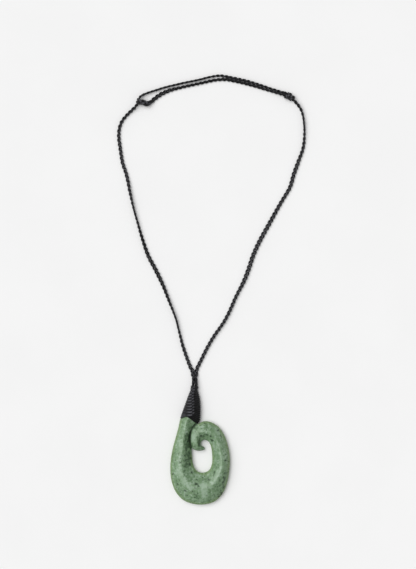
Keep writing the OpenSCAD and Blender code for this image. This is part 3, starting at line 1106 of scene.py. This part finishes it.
@dataclass(kw_only=True)
class PlaitedCord(Piece):
    """One of the two cords: a flat plait that lies along its route and slowly turns over."""

    route: Array
    rolls: Array
    lie: Array
    knot: Object
    width: float = 2.4
    plait: Plait = Plait(bead=0.5)

    def build(self, material: Material) -> Object:
        """Make the cord and log its length.

        Args:
            material: The cord's finish.

        Returns:
            The cord.
        """
        line, ups = self.plait.laid(self.route, self.rolls)
        along = arc_lengths(line)
        spread, aside = (np.interp(along, self.lie[:, 0], column) for column in self.lie.T[1:])
        line = line + aside[:, None] * sides_of(line, TABLE_UP)[0]
        roll = np.arccos(np.clip(ups[:, 2], -1.0, 1.0))
        line[:, 2] += self.plait.half_height(roll, spread) - self.plait.half_height(roll)
        parts = MeshParts()
        self.plait.add(parts, line, ups, spread=spread)
        cord = self.settle(parts.make(self.name, material))
        log.info("%s: %.0f mm long", self.name, along[-1])
        return cord


# Routes as in the part's source: x, y and how far off the table
LEFT_ROUTE = np.array([
    [-5, 42.8, 0.1], [-5, 43.6, 0.1], [-6.5, 46.5, 0], [-8.5, 51.5, 0], [-11.5, 60, 0], [-14, 70, 0],
    [-16, 78, 0], [-20, 88.5, 0], [-24, 99, 0], [-29, 109.5, 0], [-34, 119, 0], [-37.5, 129, 0],
    [-40.5, 139.5, 0], [-43.5, 150, 0], [-46, 161, 0], [-48.5, 172, 0], [-51, 180, 0], [-52.5, 190, 0],
    [-53, 199, 0], [-51.5, 205.5, 0], [-47.5, 210.5, 0], [-44.5, 213.4, 0.4], [-41.8, 216, 0.8],
    [-40.2, 218.8, 1], [-39.4, 221.4, 0.8], [-37.8, 223, 0.3], [-34, 224.7, 0], [-27, 227, 0],
    [-19.5, 229.3, 0], [-10, 231.7, 0], [-1, 233.6, 0], [8, 235, 0], [15.5, 235.4, 0], [22.5, 234.3, 0],
    [30.5, 232.6, 0], [38.5, 230.3, 0], [46.5, 227.7, 0], [54.6, 225.1, 0.1],
])
RIGHT_ROUTE = np.array([
    [-2.6, 42.8, 0.1], [-2.6, 43.6, 0.1], [-2, 46, 0], [0.5, 51.5, 0], [4.5, 59.5, 0], [9, 67, 0],
    [14.5, 75, 0], [19, 83, 0], [23, 92, 0], [28, 102, 0], [31.5, 111, 0], [34.5, 119.5, 0],
    [38, 127.5, 0], [43, 137, 0], [48, 146, 0], [53, 155, 0], [58, 163.5, 0], [60.5, 172, 0],
    [63.5, 180.5, 0], [66.5, 189, 0], [67.5, 198, 0], [67.5, 206, 0], [66.5, 211.5, 0], [65, 214.8, 0.3],
    [62.6, 218, 0.7], [59.7, 220.8, 1], [57, 222, 1], [53.6, 223.2, 0.9], [46, 225.5, 0.2], [38, 228.2, 0],
    [30, 230.5, 0], [22, 232.2, 0], [15, 233.1, 0], [8, 232.8, 0], [-1, 231.2, 0], [-10, 229.5, 0],
    [-18, 227.3, 0], [-24, 224.6, 0], [-28, 222, 0], [-31, 219.7, 0.2], [-32.6, 218.3, 0.4],
])
# Turn of each plait's flat side from facing up: length along the route, degrees
LEFT_ROLLS = np.array([
    [0, 0], [9, 15], [18, 40], [31, 88], [44, 105], [54, 145], [71, 180], [90, 220], [111, 270],
    [126, 315], [138, 360], [160, 380], [170, 403], [184, 408], [193, 450], [240, 450], [252, 415],
    [264, 420], [272, 425], [280, 448], [289, 440],
])
RIGHT_ROLLS = np.array([
    [0, 0], [18, -20], [37, -35], [56, -20], [80, 0], [148, 5], [156, 35], [165, 40], [177, 90], [184, 95],
    [190, 125], [197, 130], [203, 113], [211, 113], [220, 128], [228, 140], [236, 145], [244, 150],
    [252, 150], [262, 138], [272, 152], [280, 172], [286, 180], [294, 180],
])
# How each plait lies: length along the route, share of its usual width, how far right of the route
LEFT_LIE = np.array([
    [0, 1.2, 0], [8, 1, 0.05], [15, 1, 0.2], [24, 1, 0.2], [32, 1, 0.1], [58, 1, 0], [66, 1.18, 0],
    [80, 1.18, 0.05], [90, 1.05, 0.1], [100, 1, 0], [126, 1, 0.05], [131, 1, 0.3], [137, 1, 0.3],
    [145, 1, 0.25], [150, 1, 0.35], [155, 1, 0.25], [160, 1, 0], [166, 1, 0.05], [170, 1, 0.2],
    [176, 1, 0], [190, 1, 0], [194, 1, -0.15], [203, 1, -0.05], [208, 1, -0.1], [215, 1, 0.17],
    [222, 1, 0.26], [228, 1, 0.42], [233, 1, 0.33], [238, 1, -0.15], [244, 1, -0.6], [247, 1, -0.5],
    [249.5, 1, -0.1], [253, 1, 0.1], [262, 1, 0.2], [272, 1, 0.35], [281, 1, 0.35], [289, 1, 0.3],
])
RIGHT_LIE = np.array([
    [0, 1.1, 0], [9, 1, 0.3], [27, 1, 0.2], [38, 1, 0.32], [48, 1, 0.12], [60, 1, 0.12], [70, 1.26, 0.27],
    [76, 1.28, 0.25], [84, 1.28, 0.1], [95, 1.28, 0.2], [108, 1.25, 0.36], [118, 1.12, 0.3],
    [128, 1.05, 0.42], [140, 1.15, 0.35], [150, 1.2, 0.45], [162, 1, 0.42], [168, 1, 0.38], [174, 1, 0.2],
    [179, 1, -0.1], [184, 1, -0.15], [189, 1, 0], [196, 1, 0], [203, 0.95, 0.3], [211, 0.9, 0.35],
    [218, 0.9, 0.12], [228, 0.92, 0.1], [236, 0.95, 0.3], [241, 1, 0.55], [244, 0.95, 0.35],
    [248, 0.85, 0.15], [252, 0.85, -0.1], [257, 0.85, -0.33], [262, 0.85, -0.5], [266, 0.85, -0.62],
    [272, 0.85, -0.6], [276, 0.95, -0.4], [280, 1.1, -0.1], [284, 1.2, 0.1], [288, 1.2, 0.25],
    [294, 1.2, 0],
])
# The neck's plaits take wear with painted highlight, the left one more
NECK_PLAIT = Plait(strand=1.08, sway=0.82, lift=0.38, step=0.3, wear_and_light=1.4)


@dataclass(kw_only=True)
class NeckPlait(Piece):
    """The slim neck, where both plaits lie side by side on edge and run into the lashing."""

    name: str = "plaited_neck"
    node: str = "neck_plait"
    left: Plait = NECK_PLAIT
    right: Plait = replace(NECK_PLAIT, wear_and_light=0.9)

    # Each plait's way up from inside the lashing to the start of its cord
    LEFT = np.array([
        [-4.3, 31.5, 0.9], [-4.65, 34, 0.5], [-4.6, 36.3, 0.2], [-4.45, 39, 0], [-4.75, 41, 0],
        [-5, 42.8, 0.1],
    ])
    RIGHT = np.array([
        [-2.8, 31.5, 0.9], [-2.5, 34, 0.5], [-2.6, 36.3, 0.2], [-2.75, 39, 0], [-2.75, 41, 0],
        [-2.6, 42.8, 0.1],
    ])
    ROLLS = np.array([[0, 90], [6, 90], [8, 75], [10, 35], [11.4, 0]])

    def shape(self, parts: MeshParts) -> None:
        """Add both plaits, each so that its repeat ends where its cord starts.

        Args:
            parts: The mesh to add to.
        """
        for plait, route in ((self.left, self.LEFT), (self.right, self.RIGHT)):
            line, ups = plait.laid(route, self.ROLLS)
            plait.add(parts, line, ups, -math.tau * arc_lengths(line)[-1] / plait.period)


@dataclass(kw_only=True)
class SlidingKnot(Piece):
    """What both sliding knots share: a place on the table, a direction and a plait."""

    x: float
    y: float
    turn: float
    taper: float
    plait: Plait

    def way(self, places: Array, facing: Array, *more: Array) -> Array:
        """The plait's way in the row frame, evenly spaced.

        Args:
            places: Places along, across and up from the knot.
            facing: The way that the flat side faces at each.
            more: Any further columns.

        Returns:
            Rows of the place, the way that the flat side faces, and the further columns.
        """
        turn, middle = math.radians(self.turn), np.array([self.x, self.y, 0.0])
        along = np.array([math.cos(turn), math.sin(turn), 0.0])
        across = np.array([-math.sin(turn), math.cos(turn), 0.0])
        turned = [r[:, :1] * along + r[:, 1:2] * across + r[:, 2:] * TABLE_UP for r in (places, facing)]
        columns = [turned[0] + middle, unit(turned[1]), *more]
        return evenly(np.concatenate(columns, axis=1), self.plait.step)


@dataclass(kw_only=True)
class WoundKnot(SlidingKnot):
    """The right knot: the left cord's end wound round the right cord."""

    name: str = "wound_knot"
    node: str = "knot_right"
    x: float = 58.0
    y: float = 222.3
    turn: float = -23.0
    taper: float = 1.2
    turns: float = 2.3
    turn_steps: int = 12
    start: float = -10.0
    length: float = 6.0
    wide: float = 1.75
    tall: float = 1.15
    height: float = 2.0
    bend: float = 0.06
    # Strong wear with painted highlight on top, and painted shade at the edges
    plait: Plait = Plait(
        strand=1.1, sway=0.9, lift=0.28, period=6.0, step=0.22, sides=12, wear_and_light=1.3, shaded_edges=0.9
    )

    # Way in from the end of the left cord: along, across, up, and the flat side's direction
    LEAD = np.array([
        [-5.2, 0.95, 1.2, 0, 0.7, 0.7], [-4.5, 0.95, 1.2, 0, 0.7, 0.7], [-3.7, 1.1, 1.3, 0, 0.9, 0.5],
    ])
    # Share of the full width along the winding
    BULGE = np.array([0.6, 0.95, 1.0, 0.84, 0.25])

    def shape(self, parts: MeshParts) -> None:
        """Add the strands of the way in and of the turns.

        Args:
            parts: The mesh to add to.
        """
        share = np.linspace(0.0, 1.0, round(self.turns * self.turn_steps) + 1)
        angle = math.radians(self.start) - share * self.turns * math.tau
        bulge = np.interp(share, np.linspace(0.0, 1.0, len(self.BULGE)), self.BULGE)
        out = np.stack([np.zeros_like(angle), np.cos(angle), np.sin(angle)], axis=1)
        local = out * np.array([0.0, self.wide, self.tall]) * bulge[:, None]
        local[:, 0] = (share - 0.5) * self.length
        local[:, 1] -= self.bend * np.maximum(local[:, 0], 0.0) ** 2
        local[:, 2] += self.height
        rows = smoothed(np.concatenate([self.LEAD, np.concatenate([local, out], axis=1)]), 6)
        rows = self.way(rows[:, :3], rows[:, 3:])
        self.plait.add(parts, rows[:, :3], rows[:, 3:], taper=self.taper)


@dataclass(kw_only=True)
class FoldedKnot(SlidingKnot):
    """The left knot: the right cord's end folded round the left cord and back on itself."""

    name: str = "folded_knot"
    node: str = "knot_left"
    x: float = -37.6
    y: float = 218.5
    turn: float = -12.0
    taper: float = 1.4
    phase: float = 1.0
    # Strong wear with painted highlight on top, and painted shade at the edges
    plait: Plait = Plait(
        strand=1.5, sway=1.0, lift=0.25, period=13.0, step=0.22, sides=14, wear_and_light=1.1, shaded_edges=0.9
    )

    # Way of the fold: along, across, up, the direction that its flat side faces, and how wide
    FOLD = np.array([
        [5.5, 1.1, 1.2, 0.1, 1, 0.5], [4.4, 0.35, 1.8, 0.3, 1, 0.8], [3, -0.2, 2.5, 0.2, 1, 1.08],
        [1.2, -0.12, 2.85, 0.05, 1, 1.12], [-0.8, 0, 3, 0, 1, 1.2], [-2, 0.1, 3, -0.15, 1, 1.25],
        [-2.9, 0.25, 2.7, -0.7, 0.7, 1.2], [-3.2, 0.2, 2, -1, 0, 1.1], [-2.9, 0.1, 1.3, -0.7, -0.7, 1],
        [-1.9, 0, 1.05, -0.1, -1, 1], [0, -0.1, 1.05, 0, -1, 1], [2.4, -0.3, 1.05, 0.05, -1, 0.9],
        [4.3, -0.5, 1.1, 0.2, -1, 0.8],
    ])

    def shape(self, parts: MeshParts) -> None:
        """Add the strands of the fold.

        Args:
            parts: The mesh to add to.
        """
        rows = smoothed(self.FOLD, 10)
        facing = np.stack([rows[:, 3], np.zeros(len(rows)), rows[:, 4]], axis=1)
        rows = self.way(rows[:, :3], facing, rows[:, 5:])
        self.plait.add(parts, rows[:, :3], rows[:, 3:6], self.phase, self.taper, rows[:, 6])


@dataclass
class Studio:
    """The table, the lights and the camera that looks straight down."""

    centre_x: float = 5.07
    centre_y: float = 100.1
    distance: float = 1200.0
    frame_height: float = 369.85
    sensor: float = 36.0
    focus_height: float = 2.0
    clip: Pair = (0.05, 20.0)
    table: float = 3000.0
    sun_angle: float = 60.0
    sun_strength: float = 2.2
    sun_from: tuple[float, float, float] = (-0.50, 0.22, 0.84)
    sky_strength: float = 0.43

    def build_camera(self) -> None:
        """Make the camera and use it."""
        data = bpy.data.cameras.new("camera")
        data.sensor_width = self.sensor
        data.lens = self.sensor * self.distance / self.frame_height
        data.clip_start, data.clip_end = self.clip
        camera = linked("camera", data)
        height = self.distance + self.focus_height
        camera.location = (self.centre_x * MM, self.centre_y * MM, height * MM)
        bpy.context.scene.camera = camera

    def build_table(self, material: Material) -> None:
        """Make the table top.

        Args:
            material: The table's finish.
        """
        half = self.table / 2 * MM
        mesh = bpy.data.meshes.new("table")
        corners = [(-half, -half, 0), (half, -half, 0), (half, half, 0), (-half, half, 0)]
        mesh.from_pydata(corners, [], [(0, 1, 2, 3)])
        mesh.materials.append(material)
        table = linked("table", mesh)

    def build_lights(self) -> None:
        """Make the soft key light from the upper left and the pale surroundings."""
        bpy.context.scene.view_settings.view_transform = "Standard"
        sun = bpy.data.lights.new("key", "SUN")
        sun.energy = self.sun_strength
        sun.angle = math.radians(self.sun_angle)
        key = linked("key", sun)
        key.rotation_euler = Vector(self.sun_from).to_track_quat("Z", "Y").to_euler()
        world = bpy.data.worlds.new("surroundings")
        bpy.context.scene.world = world
        world.use_nodes = True
        sky = world.node_tree.nodes["Background"]
        sky.inputs[0].default_value = (1.0, 1.0, 1.0, 1.0)
        sky.inputs[1].default_value = self.sky_strength


def main() -> None:
    """Build the scene piece by piece."""
    logging.basicConfig(level=logging.INFO, format="%(name)s: %(message)s")
    studio = Studio()
    studio.build_camera()
    cord_material = CORD_FINISH.build()
    knot_material = KNOT_FINISH.build()
    thread_material = THREAD_FINISH.build()
    left_knot = FoldedKnot().build(knot_material)
    right_knot = WoundKnot().build(knot_material)
    for name, node, route, rolls, lie, knot in (
        ("left_plait", "cord_left", LEFT_ROUTE, LEFT_ROLLS, LEFT_LIE, right_knot),
        ("right_plait", "cord_right", RIGHT_ROUTE, RIGHT_ROLLS, RIGHT_LIE, left_knot),
    ):
        cord = PlaitedCord(name=name, node=node, route=route, rolls=rolls, lie=lie, knot=knot)
        cord.build(cord_material)
    neck = NeckPlait().build(cord_material)
    stone = HookStone().build(GreenstoneFinish().build())
    lashing = Lashing().build(thread_material)
    for piece in (left_knot, right_knot, neck, stone, lashing):
        log.info("%s: %d faces", piece.name, len(piece.data.polygons))
    studio.build_table(TableFinish().build())
    studio.build_lights()


if __name__ == "__main__":
    main()
